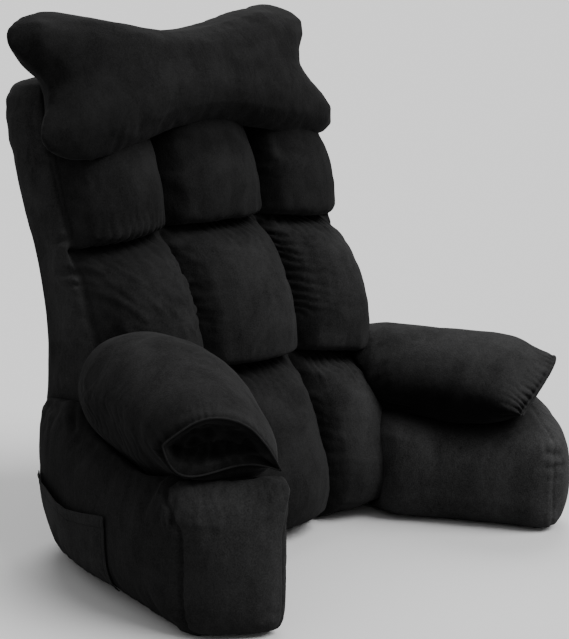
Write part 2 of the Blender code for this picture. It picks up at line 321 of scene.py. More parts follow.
# ------------------------------------------------------------------- materials
class Value:
    """A number or colour in a material's nodes, written into sums as a number is."""

    def __init__(self, finish, socket):
        self.finish = finish
        self.socket = socket

    def _sum(self, operation, first, second):
        return self.finish.node("Math", {"operation": operation}, {0: first, 1: second})

    def __add__(self, other):
        return self._sum("ADD", self, other)

    def __radd__(self, other):
        return self._sum("ADD", other, self)

    def __sub__(self, other):
        return self._sum("SUBTRACT", self, other)

    def __mul__(self, other):
        return self._sum("MULTIPLY", self, other)


class Finish:
    """One material, and the one way that its nodes are added."""

    def __init__(self, name):
        self.material = bpy.data.materials.new(name)
        self.material.use_nodes = True
        self.nodes = self.material.node_tree.nodes
        self.links = self.material.node_tree.links
        self.shader = self.nodes["Principled BSDF"]

    def node(self, kind, settings=None, sockets=None, output=0):
        made = self.nodes.new("ShaderNode" + kind)
        for key, value in (settings or {}).items():
            setattr(made, key, value)
        for key, value in (sockets or {}).items():
            self.feed(made.inputs[key], value)
        return Value(self, made.outputs[output])

    def feed(self, socket, value):
        if isinstance(value, Value):
            self.links.new(value.socket, socket)
        else:
            socket.default_value = value

    def noise(self, place, scale, detail, **others):
        return self.node("TexNoise", None,
                         {"Vector": place, "Scale": scale, "Detail": detail, **others})

    def between(self, value, low, high):
        """A value spread over 0 to 1, level at both ends."""
        return self.node("MapRange", {"interpolation_type": "SMOOTHSTEP"},
                         {"Value": value, "From Min": low, "From Max": high})

    def mixed(self, share, first, second):
        return self.node("Mix", {"data_type": "RGBA"}, {0: share, 6: first, 7: second}, output=2)

    def set(self, **sockets):
        for name, value in sockets.items():
            self.shader.inputs[name.replace("_", " ")].default_value = value


def plush(name, shade, seed=0.0, grain=1.0, mottle=1.0):
    """Black plush of short fibres: brushed patches, a fuzzy grain and a soft sheen, times each
    point's tone, which holds painted shade and light.
    """
    finish = Finish(name)
    where = finish.node("TexCoord", output="Object")
    place = finish.node("Mapping", None, {"Vector": where, "Location": (seed, 2 * seed, -seed)})
    strokes = finish.node("Mapping", None, {"Vector": where, "Location": (seed, 0, seed),
                                            "Rotation": (0.5, 0.6, 0.3), "Scale": (1, 1, 0.35)})
    patches = finish.noise(place, 11.0, 4.0, Roughness=0.55, Distortion=0.9)
    brushed = finish.noise(strokes, 38.0, 4.0, Roughness=0.65, Distortion=0.6)
    clumps = finish.noise(place, 150.0, 2.0)
    fuzz = finish.noise(place, 520.0, 1.0)
    patch = finish.between(patches, 0.34, 0.66)
    brush = finish.between(brushed, 0.30, 0.70)
    # each point's tone, mostly painted shade and light, from the piece's attribute
    nap_and_shade = finish.node("Attribute", {"attribute_name": "pile_and_shade"}, output=2)
    tone = nap_and_shade * (1.0 + (patch - 0.5) * (0.42 * mottle) + (brush - 0.5) * (0.34 * mottle)
                  + (clumps - 0.5) * (0.4 * grain) + (fuzz - 0.5) * (1.2 * grain))
    brightest = (4 * shade, 4 * shade, 4.04 * shade, 1.0)
    colour = finish.mixed(tone * 0.25, (0.0, 0.0, 0.0, 1.0), brightest)
    finish.feed(finish.shader.inputs["Base Color"], colour)
    height = brush * 0.0006 + clumps * (0.0006 * grain) + fuzz * (0.0005 * grain)
    bump = finish.node("Bump", None, {"Height": height, "Distance": 1.0, "Strength": 0.6})
    finish.feed(finish.shader.inputs["Normal"], bump)
    finish.set(Roughness=1.0, Specular_IOR_Level=0.15, Sheen_Weight=0.15, Sheen_Roughness=0.45,
               Sheen_Tint=(0.16, 0.16, 0.165, 1.0))
    return finish.material


PLUSH = plush("black plush", 0.0165)
ARM_PLUSH = plush("brushed plush", 0.018, seed=3.1, grain=1.1, mottle=0.8)
WELT = plush("welt cloth", 0.021, seed=5.0, grain=0.5)


# ---------------------------------------------------------------- back cushion
# The back's seams, as in the part: half width, front and shift by height.
BACK_PROFILE = (
    # height, half_width, front, shift to the side
    (0.000, 0.247, -0.104, 0.000),
    (0.060, 0.251, -0.101, 0.000),
    (0.130, 0.253, -0.083, 0.000),
    (0.210, 0.260, -0.056, 0.000),
    (0.300, 0.265, -0.026, 0.000),
    (0.400, 0.267, 0.007, -0.001),
    (0.500, 0.268, 0.040, -0.004),
    (0.600, 0.256, 0.073, -0.010),
    (0.668, 0.238, 0.094, -0.013),
)
BACK_TOP = BACK_PROFILE[-1][0]
COLUMN_SEAM = 0.37       # share of the half width
ROW_SEAMS = (
    # height in the middle, drop at the side
    (0.261, 0.030),
    (0.461, 0.024),
)
ROW_PLEATS = (
    # row seam, x from, x to, side of the seam, spacing, depth, reach
    (1, -0.250, -0.115, 1, 0.0125, 0.0075, 0.026),
    (1, -0.110, 0.085, 1, 0.0150, 0.0014, 0.022),
    (1, -0.060, 0.095, -1, 0.0125, 0.0034, 0.022),
    (1, 0.105, 0.260, -1, 0.0140, 0.0040, 0.026),
    (1, 0.105, 0.260, 1, 0.0170, 0.0016, 0.018),
    (1, -0.250, -0.110, -1, 0.0170, 0.0018, 0.026),
    (0, 0.105, 0.262, -1, 0.0130, 0.0060, 0.040),
    (0, -0.090, 0.090, -1, 0.0150, 0.0036, 0.032),
    (0, -0.260, 0.260, 1, 0.0170, 0.0013, 0.018),
)
COLUMN_PLEATS = (
    # side of the back, side of the seam, height from, height to, spacing, depth, reach, slant
    (1, 1, 0.300, 0.450, 0.0135, 0.0048, 0.026, 0.25),
    (1, 1, 0.490, 0.600, 0.0160, 0.0016, 0.020, 0.0),
    (-1, 1, 0.310, 0.430, 0.0190, 0.0042, 0.045, 0.9),
    (-1, -1, 0.280, 0.440, 0.0160, 0.0016, 0.018, -0.2),
    (1, -1, 0.280, 0.440, 0.0180, 0.0012, 0.016, 0.2),
    (1, 1, 0.060, 0.230, 0.0180, 0.0014, 0.020, 0.1),
    (1, -1, 0.060, 0.230, 0.0180, 0.0014, 0.020, 0.1),
)
BACK_FOLDS = (
    # width, depth, then the points of the crease
    (0.0040, 0.0044, (-0.268, 0.036, 0.455), (-0.274, 0.066, 0.452), (-0.276, 0.100, 0.447)),
    (0.0050, 0.0056, (-0.262, 0.016, 0.410), (-0.272, 0.045, 0.408), (-0.275, 0.085, 0.403)),
    (0.0035, 0.0046, (-0.262, 0.010, 0.390), (-0.272, 0.032, 0.394), (-0.274, 0.075, 0.388)),
    (0.0050, 0.0034, (-0.267, 0.020, 0.560), (-0.272, 0.060, 0.565), (-0.272, 0.110, 0.557)),
    (0.0060, 0.0030, (0.262, 0.016, 0.420), (0.272, 0.045, 0.415), (0.275, 0.090, 0.408)),
    (0.0045, 0.0026, (0.262, 0.006, 0.370), (0.272, 0.032, 0.374), (0.274, 0.075, 0.366)),
)
PUFF_CROWN = 0.0080      # how far a puff's middle stands out, and its corners lie back
ROW_DROOP = 0.0135       # how far a row's lower edge hangs down
ROW_OVERHANG = 0.0070    # and stands forwards
ROW_GROOVE = 0.0110
COLUMN_GROOVE = 0.0085
SEAM_RIM = 0.0022        # the thin edge at the left of a column seam
SEAM_SWELL = 0.0030      # and the puff's swell beside it
PUCKER_DEPTH = 0.0022    # of the rough cloth on the left middle puff


def seam_lines(spots):
    """Distances up from each row seam and out from the column seams, on the back's front."""
    keys, half_widths, fronts, shifts = np.array(BACK_PROFILE).T
    x, y, z = spots.T
    wide = np.interp(z, keys, half_widths)
    share = np.abs(x - np.interp(z, keys, shifts)) / wide
    rows = [z - (middle - drop * share**2) for middle, drop in ROW_SEAMS]
    column = (share - COLUMN_SEAM) * wide
    ahead = np.interp(z, keys, fronts) + 0.030 - y
    return rows, column, share, ahead


def side_seam(side):
    """The seam between the back's front and its side gusset."""
    path = []
    for height, wide, front, shift in BACK_PROFILE[1:]:
        crown = 0.012 * min(1.0, height / 0.25)**2
        path.append((side * (wide - 0.003) + shift, front + crown + 0.003, height))
    return path


def make_back():
    """The back cushion, with its rows and columns sewn in."""
    piece = cover("back_cushion", "back_padding", 0.0075)
    spots = places(piece)
    rows, column, share, ahead = seam_lines(spots)
    held = np.zeros(len(spots))
    for line in rows:
        held[(ahead > 0) & (np.abs(line) < 0.006)] = 1
    held[(ahead > 0) & (np.abs(column) < 0.005)] = 1
    for side in (-1, 1):
        away, _, _ = beside(spots, side_seam(side), most=0.02)
        held = np.maximum(held, fade(away, 0.009, 0.004))
    for node in ("arm_left", "arm_right", "arm_roll_left", "arm_roll_right", "head_pillow"):
        held = np.maximum(held, fade(distance(spots, node, 0.02), 0.014, 0.006))
    held[spots[:, 2] < FLOOR_HELD] = 1
    stuff(piece, held, BACK_SWELL, spare=0.02)
    relax(piece, 3)
    # finer cloth on the front, and finer still at its seams
    spots = middles(piece)
    rear_edge = np.interp(spots[:, 2], (0, 0.67), (0.07, 0.16))
    refine(piece, (spots[:, 1] < rear_edge) & (spots[:, 2] > 0.01))
    relax(piece, 2)
    rows, column, share, ahead = seam_lines(middles(piece))
    near = (np.abs(rows[0]) < 0.0125) | (np.abs(rows[1]) < 0.0125) | (np.abs(column) < 0.008)
    refine(piece, near & (ahead > 0) & (share < 1.0))
    nap_and_shade = sew_back(piece)
    nap_and_shade += sew_gusset(piece)
    for width, depth, *path in BACK_FOLDS:
        crease(piece, width, depth, path)
    finish_piece(piece, "back_cushion", PLUSH, nap_and_shade)


def crowns(rows, share, height):
    """How high each point lies on its puff, from 0 at the seams to 1 in the middle."""
    low, high = height - rows[0], height - rows[1]
    step = np.select([rows[0] < 0, rows[1] < 0], [height / low, rows[0] / (high - low)],
                     rows[1] / (BACK_TOP - high))
    aside = np.where(share < COLUMN_SEAM, share / COLUMN_SEAM,
                     2 * (share - COLUMN_SEAM) / (1 - COLUMN_SEAM) - 1)
    return ((1 - np.abs(np.clip(aside, -1, 1))**2.2)
            * (1 - np.abs(np.clip(2 * step - 1, -1, 1))**2.4))


def gathers(x, height, rows, column, wander):
    """How deep the pleats of the row and column seams are pressed in."""
    press = np.zeros(len(x))
    for seam, start, end, side, spacing, depth, reach in ROW_PLEATS:
        beyond = rows[seam] * side
        part = fade(x, start, start + 0.012) * fade(end - x, 0, 0.012)
        reach = reach * (1 + 0.5 * unrest(strip(x), 0.02, 2.0 * seam))
        near = np.where(beyond > -0.002, np.exp(-np.abs(beyond) / reach), 0)
        near *= fade(beyond, 0.07, 0.02)
        press += depth * pleats(x + 0.15 * beyond, spacing, wander) * near * part
    for half, side, start, end, spacing, depth, reach, slant in COLUMN_PLEATS:
        beyond = column * side
        part = fade(height, start, start + 0.02) * fade(end - height, 0, 0.02)
        near = np.where(beyond > -0.002, np.exp(-np.abs(beyond) / reach), 0) * (np.sign(x) == half)
        press += depth * pleats(height + slant * beyond, spacing, wander) * near * part
    return press


def sew_back(piece):
    """Pull the seams tight, let each row droop over the next and gather the cloth at the seams.

    Gives each point's tone as painted shade and light: darker below the rows and beside the
    columns, with painted highlights along the column seams.
    """
    spots = places(piece)
    rows, column, share, ahead = seam_lines(spots)
    front = fade(ahead, 0.0, 0.012) * fade(share, 1.01, 0.97)
    x, height = spots[:, 0].copy(), spots[:, 2].copy()
    sway = unrest(spots, 0.05, 3.0)
    crown = crowns(rows, share, height)
    spots[:, 1] += PUFF_CROWN * ((1 - crown)**2 - crown) * front
    corner = (1 - 0.65 * bell(column, 0.016)) * (1 - 0.85 * bell(share - 1, 0.10))
    for line in rows:
        above = np.where(line > 0, bell(line - 0.018, 0.018), 0) * corner
        below = np.where(line < 0, bell(line + 0.012, 0.012), 0)
        spots[:, 2] -= ROW_DROOP * above * front * (1 + 0.25 * sway)
        spots[:, 1] -= ROW_OVERHANG * above * front
        spots[:, 1] += ROW_GROOVE * bell(line, 0.0055) * front
        spots[:, 1] += 0.0030 * below * front
    across = fade(np.minimum(np.abs(rows[0]), np.abs(rows[1])), 0.004, 0.02)
    leftward = np.where(x < 0, column, -column)
    spots[:, 1] += COLUMN_GROOVE * bell(column, 0.0045) * front * (0.4 + 0.6 * across)
    spots[:, 1] -= SEAM_RIM * bell(leftward - 0.0075, 0.0035) * front * across
    spots[:, 1] -= SEAM_SWELL * bell(np.abs(column) - 0.018, 0.012) * front * across

    press = gathers(x, height, rows, column, unrest(spots, 0.03, 9.0))
    rough = fade(x, -0.07, -0.11) * fade(height, 0.29, 0.34) * fade(height, 0.455, 0.41)
    slanted = np.stack([x + 0.8 * height, 0 * x, 0.45 * (height - 0.8 * x)], 1)
    puckers = ridges(slanted, 0.016, 4.0)
    press += PUCKER_DEPTH * rough * np.clip(puckers, -0.4, 1)
    put(piece, spots)
    push(piece, spots, -press * front)

    nap_and_shade = np.ones(len(spots))
    # painted shade in each row seam and in a band below it, where the row above hangs over
    for line in rows:
        band = np.where(line < 0, bell(line + 0.008, 0.017), bell(line, 0.004))
        nap_and_shade -= 0.42 * band * front * (1 + 0.5 * sway)
    # painted shade on the outer side of each column seam, and a painted highlight along its left
    # edge
    nap_and_shade -= 0.40 * np.where(column > 0, bell(column - 0.004, 0.010), 0) * front * across
    nap_and_shade += (0.55 * bell(leftward - 0.0060, 0.0022) * front * across
            * np.where(x > 0, 1.0, 0.4))
    # painted light to the right and in the middle, painted shade to the left and at the top
    nap_and_shade += 0.34 * fade(x, -0.10, 0.20) * fade(height, 0.47, 0.42) * front
    nap_and_shade += 0.22 * fade(x, 0.10, 0.14) * fade(height, 0.27, 0.23) * front
    nap_and_shade += (0.16 * fade(np.abs(x), 0.13, 0.10) * fade(height, 0.27, 0.31)
            * fade(height, 0.46, 0.42) * front)
    nap_and_shade -= 0.08 * fade(x, -0.06, -0.16) * front
    nap_and_shade -= (0.12 * fade(height, 0.44, 0.50) + 0.45 * fade(height, 0.545, 0.59)) * front
    # painted highlights on the crests of the puckers
    nap_and_shade += 0.15 * rough * puckers
    # painted light on the side gusset at the left
    nap_and_shade += 0.60 * fade(x, -0.250, -0.266) * (1 - front)
    return nap_and_shade


def sew_gusset(piece):
    """Raise the side seams as thin ridges with a groove beside them. Gives a painted highlight on
    each ridge and painted shade in its groove.
    """
    nap_and_shade = np.zeros(len(piece.data.vertices))
    for side in (-1, 1):
        spots = places(piece)
        away, _, _ = beside(spots, side_seam(side), most=0.03)
        nap_and_shade += 0.35 * bell(away, 0.0022) - 0.25 * bell(away - 0.0045, 0.002)
        push(piece, spots, 0.0012 * bell(away, 0.0022) - 0.0018 * bell(away - 0.0040, 0.0022))
    return nap_and_shade


# ------------------------------------------------------------------------ arms
PANEL_SEAM = (
    # x and y of the front panel's seam at its outer and inner side, on the arm at +X
    (0.3820, -0.2985),
    (0.2860, -0.3870),
)
ARM_FOLDS = (
    # arm, width, depth, then the points of the crease
    ("left", 0.0050, 0.0040,
     (-0.268, 0.037, 0.235), (-0.295, 0.010, 0.222), (-0.318, -0.022, 0.200)),
    ("left", 0.0050, 0.0030,
     (-0.268, 0.110, 0.212), (-0.283, 0.080, 0.217), (-0.290, 0.055, 0.215)),
    ("left", 0.0045, 0.0030,
     (-0.372, -0.262, 0.186), (-0.380, -0.262, 0.165), (-0.384, -0.260, 0.135)),
    ("left", 0.0040, 0.0034,
     (-0.372, -0.280, 0.184), (-0.382, -0.282, 0.160), (-0.384, -0.284, 0.120)),
    ("left", 0.0060, 0.0025,
     (-0.375, -0.240, 0.186), (-0.378, -0.235, 0.168), (-0.380, -0.225, 0.140)),
    ("left", 0.0070, 0.0022,
     (-0.352, -0.348, 0.118), (-0.330, -0.365, 0.114), (-0.305, -0.382, 0.116)),
    ("left", 0.0060, 0.0020,
     (-0.372, -0.330, 0.142), (-0.350, -0.350, 0.136), (-0.330, -0.366, 0.138)),
    ("right", 0.0060, 0.0030,
     (0.275, -0.370, 0.124), (0.292, -0.386, 0.118), (0.310, -0.386, 0.116)),
    ("right", 0.0050, 0.0026,
     (0.276, -0.372, 0.098), (0.295, -0.388, 0.100), (0.320, -0.380, 0.096)),
    ("right", 0.0060, 0.0030,
     (0.372, -0.262, 0.180), (0.380, -0.262, 0.160), (0.384, -0.260, 0.130)),
)
ARM_EVENED = {"left": 2, "right": 6}
LEFT_CORNER = (-0.284, -0.378)           # the left panel's inner edge
LEFT_CORNER_TOP = (-0.280, -0.385, 0.195)
LEFT_CORNER_LIMIT = 0.200                # the roll's tip lies just above this
PANEL_GROOVE = 0.0040
SEAM_SETBACK = 0.040                     # how far the panel's seam runs back at its top


def raise_corner(spots):
    """Stand the left panel's inner corner up, nearly square, under the roll's tip."""
    reach = np.linalg.norm(spots[:, :2] - np.array(LEFT_CORNER), axis=1)
    spots[:, 2] += 0.024 * bell(reach, 0.040) * fade(spots[:, 2], 0.09, 0.17)
    square = bell(np.linalg.norm(spots - np.array(LEFT_CORNER_TOP), axis=1), 0.034)
    spots += np.array((0.008, -0.007, 0.008)) * square[:, None]
    spots[:, 2] = np.where(reach < 0.07, np.minimum(spots[:, 2], LEFT_CORNER_LIMIT), spots[:, 2])


def make_arm(side):
    """One arm, with its front panel's seam."""
    sign = -1 if side == "left" else 1
    outer, inner = [Vector((sign * x, y, 0)) for x, y in PANEL_SEAM]
    line = np.array((inner - outer).normalized())
    outer = np.array(outer)
    forward = np.array((line[1], -line[0], 0)) * sign
    forward *= -np.sign(forward[1])

    piece = padding("arm_" + side, "arm_padding_" + side, 0.007,
                    ["back_cushion", "arm_roll_" + side], spare=0.012,
                    sewn=lambda spots: bell((spots - outer) @ forward, 0.005),
                    evened=ARM_EVENED[side])
    refine(piece, np.abs((middles(piece) - outer) @ forward + 0.012) < 0.030)
    spots = places(piece)
    if side == "left":
        raise_corner(spots)
        put(piece, spots)

    # the front panel's seam, with its gathers at the upper corner and down the edge
    run = (spots - outer) @ line
    setback = SEAM_SETBACK * fade(spots[:, 2], 0.128, 0.205)
    ahead = (spots - outer) @ forward + setback
    wander = unrest(spots, 0.03, 4.0)
    seam = ahead + 0.0015 * wander
    faint = np.where(run < 0.05, 1.0, 0.4)
    top = fade(spots[:, 2], 0.10, 0.18)
    corner = bell(ahead, 0.022) * bell(run - 0.004, 0.030) * fade(spots[:, 2], 0.125, 0.17)
    press = (0.0016 * bell(seam + 0.008, 0.004) - PANEL_GROOVE * bell(seam, 0.0030)) * faint
    press -= 0.0006 * pleats(run, 0.013, wander) * top**2 * fade(ahead, -0.002, 0.004)
    press -= (0.0036 * pleats(ahead + 0.2 * run, 0.0115, wander) * corner
              * fade(ahead, 0.002, -0.008))
    press -= (0.0010 * pleats(spots[:, 2], 0.016, wander) * bell(ahead, 0.012)
              * (1 - top) * faint)
    press += 0.0016 * unrest(spots, 0.06, 7.0)
    push(piece, spots, press)
    for arm, width, depth, *path in ARM_FOLDS:
        if arm == side:
            crease(piece, width, depth, path)

    # painted shadow under the roll; on the left arm painted light on the front panel and painted
    # shade towards the side's rear, the right arm painted lighter all over
    roll_shadow = bell(distance(spots, "arm_roll_" + side, 0.08), 0.034)
    if side == "left":
        nap_and_shade = 1 - 0.55 * roll_shadow + 0.36 * fade(ahead, 0.0, 0.004)
        nap_and_shade += (0.10 - 0.24 * fade(spots[:, 1], -0.16, 0.02)) * fade(ahead, 0.0, -0.004)
    else:
        nap_and_shade = 2.60 - 2.42 * roll_shadow
    finish_piece(piece, "arm_" + side, ARM_PLUSH, nap_and_shade)
    return piece


# ----------------------------------------------------------------------- rolls
ROLL_ENDS = {
    # outer and inner tip of the end panel, how far its top is pushed outwards and leans ahead
    "left": ((-0.390, -0.275, 0.2445), (-0.270, -0.363, 0.2055), 0.002, 0.40),
    "right": ((0.388, -0.278, 0.2220), (0.252, -0.350, 0.1790), 0.030, 0.85),
}
END_SHAPES = {
    # share from the outer to the inner tip, rise and drop from the line between them
    "left": (
        (0.00, 0.0000, 0.0000),
        (0.03, 0.0065, 0.0160),
        (0.07, 0.0130, 0.0260),
        (0.12, 0.0210, 0.0315),
        (0.20, 0.0340, 0.0330),
        (0.31, 0.0480, 0.0285),
        (0.45, 0.0570, 0.0178),
        (0.60, 0.0580, 0.0060),
        (0.73, 0.0525, -0.0005),
        (0.83, 0.0390, -0.0020),
        (0.91, 0.0240, -0.0015),
        (1.00, 0.0000, 0.0000),
    ),
    "right": (
        (0.00, 0.0000, 0.0000),
        (0.05, 0.0080, 0.0030),
        (0.10, 0.0150, 0.0055),
        (0.20, 0.0265, 0.0095),
        (0.35, 0.0365, 0.0135),
        (0.50, 0.0390, 0.0150),
        (0.65, 0.0350, 0.0135),
        (0.80, 0.0240, 0.0095),
        (0.90, 0.0130, 0.0055),
        (1.00, 0.0000, 0.0000),
    ),
}
ROLL_FOLDS = (
    # roll, width, depth, then the points of the crease
    ("right", 0.0040, 0.0036,
     (0.196, -0.115, 0.176), (0.200, -0.150, 0.170), (0.207, -0.190, 0.168)),
    ("left", 0.0050, 0.0024,
     (-0.336, -0.055, 0.292), (-0.358, -0.080, 0.270), (-0.366, -0.105, 0.240)),
)
GATHER_DEPTH = {"left": 0.0036, "right": 0.0048}
RIM_STEPS = 40           # points along a panel's upper line, from tip to tip
RIM_COUNT = 72           # points round the CAD's welt
PANEL_SUNK = 0.0230      # how deep the end panel lies behind its welt
CARRY_REACH = 0.070      # how far back the cover follows when its end is shaped
WELT_RADIUS = 0.0012
WELT_PROUD = 0.0008      # how far the welt stands ahead of the cover's edge


def rim_of(node):
    """The middle line of a CAD welt, as a closed path."""
    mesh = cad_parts[node].data
    spots = np.array([v.co[:] for v in mesh.vertices])
    middle = spots.mean(axis=0)
    axes = np.linalg.svd(spots - middle, full_matrices=False)[2]
    flat = (spots - middle) @ axes[:2].T
    turn = np.arctan2(flat[:, 1], flat[:, 0])
    path = []
    for i in range(RIM_COUNT):
        centre = -math.pi + 2 * math.pi * (i + 0.5) / RIM_COUNT
        gap = np.abs((turn - centre + math.pi) % (2 * math.pi) - math.pi)
        weight = np.exp(-(gap / (np.sort(gap)[12] + 0.01))**2)[:, None]
        path.append((spots * weight).sum(axis=0) / weight.sum())
    return evened_path(evened_path(np.array(path)))


def end_rim(side):
    """The line of the welt round a roll's end panel, and the panel's middle and directions."""
    outer, inner, aside, lean = ROLL_ENDS[side]
    outer, inner = np.array(outer), np.array(inner)
    across = inner - outer
    flat = np.array((across[0], across[1], 0.0))
    flat /= np.linalg.norm(flat)
    out = np.array((flat[1], -flat[0], 0.0))
    out *= -np.sign(out[1])
    keys, rises, drops = np.array(END_SHAPES[side]).T
    shares = (1 - np.cos(np.linspace(0, math.pi, RIM_STEPS + 1))) / 2
    path = []
    for share in shares:
        rise = np.interp(share, keys, rises)
        path.append(outer + across * share + np.array((0, 0, rise))
                    - flat * aside * 2 * math.sqrt(share * (1 - share)) + out * lean * rise)
    for share in shares[-2:0:-1]:
        path.append(outer + across * share - np.array((0, 0, np.interp(share, keys, drops))))
    path = np.array(path)
    tips = np.zeros(len(path), bool)
    tips[[0, RIM_STEPS]] = True
    for _ in range(4):
        path = np.where(tips[:, None], path, evened_path(path))
    return path, (outer + inner) / 2 + np.array((0, 0, 0.012)), flat, out


def halves(path, flat):
    """A closed outline as two runs between its tips, each with evenly placed points."""
    path = np.roll(path, -int(np.argmin(path @ flat)), axis=0)
    turn = int(np.argmax(path @ flat))
    runs = [path[:turn + 1], np.vstack([path[turn:], path[:1]])[::-1]]
    runs.sort(key=lambda run: -run[:, 2].mean())
    found = []
    for run in runs:
        line, at = dense(run, step=0.0005)
        share = np.linspace(0, at[-1], 61)
        found.append(np.stack([np.interp(share, at, line[:, k]) for k in range(3)], axis=1))
    return np.vstack(found)


def carried(spots, before, after, reach):
    """How far each point goes along when one outline is carried to another."""
    shift = np.zeros_like(spots)
    for i in within_box(spots, before, reach):
        gaps = np.linalg.norm(before - spots[i], axis=1)
        least = gaps.min()
        if least < reach:
            weights = 1 / (gaps + 0.004)**4
            mean = ((after - before) * weights[:, None]).sum(axis=0) / weights.sum()
            shift[i] = mean * fade(least, reach, 0.006)
    return shift


def enclosed(points, outline):
    """Which flat points lie inside a closed outline."""
    x, y = points.T
    inside = np.zeros(len(points), bool)
    before = outline[-1]
    for corner in outline:
        crosses = (corner[1] > y) != (before[1] > y)
        with np.errstate(divide="ignore", invalid="ignore"):
            reach = ((before[0] - corner[0]) * (y - corner[1]) / (before[1] - corner[1])
                     + corner[0])
        inside ^= crosses & (x < reach)
        before = corner
    return inside


def fit_end(piece, side, before):
    """Bring a roll's plain end to the sewn outline. Gives its points, and which are the panel."""
    rim, middle, flat, out = end_rim(side)

    def levelled(path):
        return np.stack([(path - middle) @ flat, path[:, 2] - middle[2]], 1)

    spots = places(piece)
    inside = enclosed(levelled(spots), levelled(before) * 0.985)
    inside &= (spots - middle) @ out > -0.035
    behind = (middle - spots) @ out
    if side == "left":
        # less full at the inner crown, and slack at the outer lower side
        inner_crown = fade(spots[:, 0], -0.300, -0.250) * fade(spots[:, 2], 0.24, 0.28)
        spots[:, 0] -= 0.007 * inner_crown * fade(behind, 0.14, 0.05)
        slack = fade(spots[:, 0], -0.300, -0.375) * fade(spots[:, 2], 0.285, 0.225)
        slack *= fade(behind, -0.005, 0.03) * fade(behind, 0.24, 0.12)
        spots += np.array((0.013, 0.0, 0.003)) * slack[:, None]
    spots += carried(spots, halves(before, flat), halves(rim, flat), CARRY_REACH)
    # the edge between the cover and the end panel lies on the sewn outline
    ends = np.array([edge.vertices[:] for edge in piece.data.edges])
    edging = np.unique(ends[inside[ends[:, 0]] != inside[ends[:, 1]]])
    edging = edging[~inside[edging]]
    _, _, landing = beside(spots[edging], rim, closed=True, most=0.05)
    moves = carried(spots, spots[edging], landing, 0.022)
    moves[edging] = landing - spots[edging]
    return spots + moves, inside


def make_roll(side):
    """The roll on one arm, with its pointed end panel and welt."""
    before = rim_of("roll_welt_" + side)
    rim, middle, flat, out = end_rim(side)
    outer = np.sign(rim[0, 0])

    def sewn(spots):
        away, _, _ = beside(spots, before, closed=True, most=0.02)
        return fade(away, 0.010, 0.005)

    piece = padding("arm_roll_" + side, "roll_padding_" + side, 0.0042,
                    ["back_cushion", "arm_" + side], spare=0.004, sewn=sewn, evened=8)
    spots, inside = fit_end(piece, side, before)
    outside = ~inside
    away, along, nearest = beside(spots, rim, closed=True, most=0.09)
    level, height = (spots - middle) @ flat, spots[:, 2] - middle[2]
    wander = unrest(spots, 0.025, 1.0)

    # the end panel: sunk behind the rim and crumpled, with a ridge along its lower line
    lower = (rim[RIM_STEPS + 1:] - middle)[::-1]
    way = np.sign((lower @ flat)[-1])
    ridge = height - np.interp(level * way, lower @ flat * way, lower[:, 2])
    streak = unrest(np.stack([level * 2.2, height, 0 * away], 1), 0.030, 6.0)
    crumple = ridges(spots, 0.018, 2.0)
    sunk = PANEL_SUNK - 0.0070 * streak - 0.0065 * crumple - 0.0110 * bell(ridge - 0.011, 0.005)
    aim = (nearest - middle) @ out - 0.001 - fade(away, 0.001, 0.016) * sunk
    step = np.where(inside, aim - (spots - middle) @ out, 0)
    spots = spots + out * step[:, None]

    # the cover: drawn to the welt and gathered there
    pull = outside * 0.5 * fade(away, 0.012, 0.002)
    spots = spots + (nearest - spots) * pull[:, None]
    put(piece, spots)
    drift = unrest(strip(along), 0.045, 8.0)
    swing = np.clip(0.5 + 0.9 * unrest(strip(along), 0.028, 3.0), 0.1, 1.2)
    if side == "right":
        swing += 1.1 * fade(0.215 - nearest[:, 2], 0.0, 0.03)
    gather = outside * np.exp(-away / 0.013) * fade(away, 0.001, 0.006) * swing
    press = -GATHER_DEPTH[side] * pleats(along, 0.0120, 2.2 * drift + 0.3 * wander) * gather
    press -= 0.0010 * outside * bell(away - 0.0055, 0.0014)
    push(piece, spots, press)

    # faint curved folds round the cover's outer and lower side
    spots, normals = places(piece), outwards(piece)
    behind = (middle - spots) @ out
    outer_side = fade(normals[:, 0] * outer - 0.5 * normals[:, 2], 0.30, 0.95)
    band = fade(behind, 0.04, 0.08) * fade(behind, 0.27, 0.19)
    bend = behind + 0.30 * spots[:, 2]
    press = -0.0007 * pleats(bend, 0.0160, 1.6 * wander) * outer_side * band
    push(piece, spots, (press + 0.0012 * unrest(spots, 0.05, 5.0)) * outside)
    for roll, width, depth, *path in ROLL_FOLDS:
        if roll == side:
            crease(piece, width, depth, path)

    # painted shade at the end's outer tip, beside the welt and on the downward faces, and on the
    # left roll near its end; the left roll's top painted lighter towards the back and darker
    # towards the front
    tip = np.linalg.norm(spots - rim[0] - np.array((0, 0, 0.010)), axis=1)
    nap_and_shade = 1.14 - 0.45 * bell(tip, 0.040) - 0.25 * bell(away - 0.006, 0.004)
    up = normals[:, 2]
    if side == "right":
        nap_and_shade += 0.16 - 1.12 * fade(up, 0.70, -0.05)
    else:
        nap_and_shade += 0.06 - 0.5 * fade(up, 0.1, -0.5) - 0.20 * np.exp(-away / 0.04)
        nap_and_shade += 0.14 * (2 * fade(spots[:, 1], -0.30, -0.16) - 1) * fade(up, 0.3, 0.8)
    # the sunk end panel painted dark as in shade, with painted highlights on its lower ridge and
    # crumples
    painted_panel_shade = 0.26 + 0.40 * bell(ridge - 0.011, 0.006) + 0.3 * np.clip(crumple, 0, 1)
    nap_and_shade = np.where(inside, painted_panel_shade, nap_and_shade)
    # the right roll painted lighter all over
    if side == "right":
        nap_and_shade *= 1.25
    finish_piece(piece, "arm_roll_" + side, PLUSH, nap_and_shade)
    make_welt(side, rim, out)


